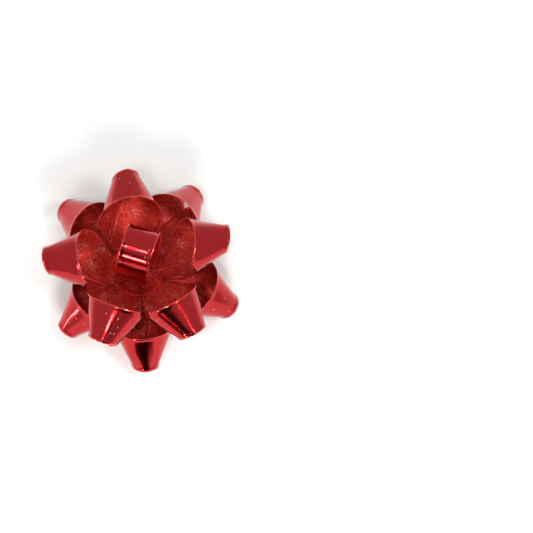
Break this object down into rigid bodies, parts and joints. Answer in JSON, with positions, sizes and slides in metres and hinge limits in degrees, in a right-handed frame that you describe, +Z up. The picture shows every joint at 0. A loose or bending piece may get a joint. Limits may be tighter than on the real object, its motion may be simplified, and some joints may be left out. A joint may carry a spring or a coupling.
{
  "type": "gift bow",
  "caption": "Small star gift bow of shiny red film ribbon: two tiers of pointed loops round an upright centre loop, stapled to a card disc with a peel-and-stick foam pad.",
  "frame": {"origin": "on the bow's axis at the underside of the peel-off liner, where the bow rests", "axes": "+Z up through the centre loop; -Y is the side that faces the viewer in a front view; +X to the right"},
  "size_m": [0.0302, 0.0303, 0.0147],
  "materials": {
    "ribbon": "metallised film, glossy outside, grained inside",
    "staple_wire": "bright",
    "card": "matte",
    "foam": "matte",
    "liner": "waxed"
  },
  "bodies": {
    "middle": {"centre_ply": "ribbon", "upper_ply_1": "ribbon", "upper_ply_2": "ribbon", "upper_ply_3": "ribbon", "upper_ply_4": "ribbon", "upper_ply_5": "ribbon", "lower_ply_1": "ribbon", "lower_ply_2": "ribbon", "lower_ply_3": "ribbon", "lower_ply_4": "ribbon", "lower_ply_5": "ribbon", "staple": "staple_wire", "backing_card": "card", "foam_pad": "foam"},
    "centre_loop": {"centre_loop": "ribbon"},
    "peel_liner": {"peel_liner": "liner"},
    "upper_loop_1": {"upper_loop_1": "ribbon"},
    "upper_loop_2": {"upper_loop_2": "ribbon"},
    "upper_loop_3": {"upper_loop_3": "ribbon"},
    "upper_loop_4": {"upper_loop_4": "ribbon"},
    "upper_loop_5": {"upper_loop_5": "ribbon"},
    "lower_loop_1": {"lower_loop_1": "ribbon"},
    "lower_loop_2": {"lower_loop_2": "ribbon"},
    "lower_loop_3": {"lower_loop_3": "ribbon"},
    "lower_loop_4": {"lower_loop_4": "ribbon"},
    "lower_loop_5": {"lower_loop_5": "ribbon"}
  },
  "joints": [
    {"name": "upper_loop_1_spring", "type": "hinge", "parent": "middle", "child": "upper_loop_1", "pos_m": [0.00409, 0.00094, 0.0049], "axis": [0.225, -0.9744, 0], "range_deg": [0, 6], "stiffness_Nm_per_rad": 0.002},
    {"name": "upper_loop_2_spring", "type": "hinge", "parent": "middle", "child": "upper_loop_2", "pos_m": [-0.00051, 0.00417, 0.0049], "axis": [0.9925, 0.1219, 0], "range_deg": [0, 6], "stiffness_Nm_per_rad": 0.002},
    {"name": "upper_loop_3_spring", "type": "hinge", "parent": "middle", "child": "upper_loop_3", "pos_m": [-0.0042, 0, 0.0049], "axis": [0, 1, 0], "range_deg": [0, 6], "stiffness_Nm_per_rad": 0.002},
    {"name": "upper_loop_4_spring", "type": "hinge", "parent": "middle", "child": "upper_loop_4", "pos_m": [-0.00157, -0.00389, 0.0049], "axis": [-0.9272, 0.3746, 0], "range_deg": [0, 6], "stiffness_Nm_per_rad": 0.002},
    {"name": "upper_loop_5_spring", "type": "hinge", "parent": "middle", "child": "upper_loop_5", "pos_m": [0.00247, -0.0034, 0.0049], "axis": [-0.809, -0.5878, 0], "range_deg": [0, 6], "stiffness_Nm_per_rad": 0.002},
    {"name": "lower_loop_1_spring", "type": "hinge", "parent": "middle", "child": "lower_loop_1", "pos_m": [0.00235, 0.00348, 0.0024], "axis": [0.829, -0.5592, 0], "range_deg": [-4, 0], "stiffness_Nm_per_rad": 0.002},
    {"name": "lower_loop_2_spring", "type": "hinge", "parent": "middle", "child": "lower_loop_2", "pos_m": [-0.00302, 0.00292, 0.0024], "axis": [0.6947, 0.7193, 0], "range_deg": [-4, 0], "stiffness_Nm_per_rad": 0.002},
    {"name": "lower_loop_3_spring", "type": "hinge", "parent": "middle", "child": "lower_loop_3", "pos_m": [-0.00326, -0.00264, 0.0024], "axis": [-0.6293, 0.7771, 0], "range_deg": [-4, 0], "stiffness_Nm_per_rad": 0.002},
    {"name": "lower_loop_4_spring", "type": "hinge", "parent": "middle", "child": "lower_loop_4", "pos_m": [0.00037, -0.00418, 0.0024], "axis": [-0.9962, -0.0872, 0], "range_deg": [-4, 0], "stiffness_Nm_per_rad": 0.002},
    {"name": "lower_loop_5_spring", "type": "hinge", "parent": "middle", "child": "lower_loop_5", "pos_m": [0.00395, -0.00144, 0.0024], "axis": [-0.342, -0.9397, 0], "range_deg": [-4, 0], "stiffness_Nm_per_rad": 0.002},
    {"name": "centre_loop_lean", "type": "hinge", "parent": "middle", "child": "centre_loop", "pos_m": [0, 0, 0.00342], "axis": [0.9511, -0.309, 0], "range_deg": [-2, 8], "stiffness_Nm_per_rad": 0.002},
    {"name": "liner_peel", "type": "hinge", "parent": "middle", "child": "peel_liner", "pos_m": [0, -0.0045, 0.0001], "axis": [-1, 0, 0], "range_deg": [0, 100]}
  ]
}
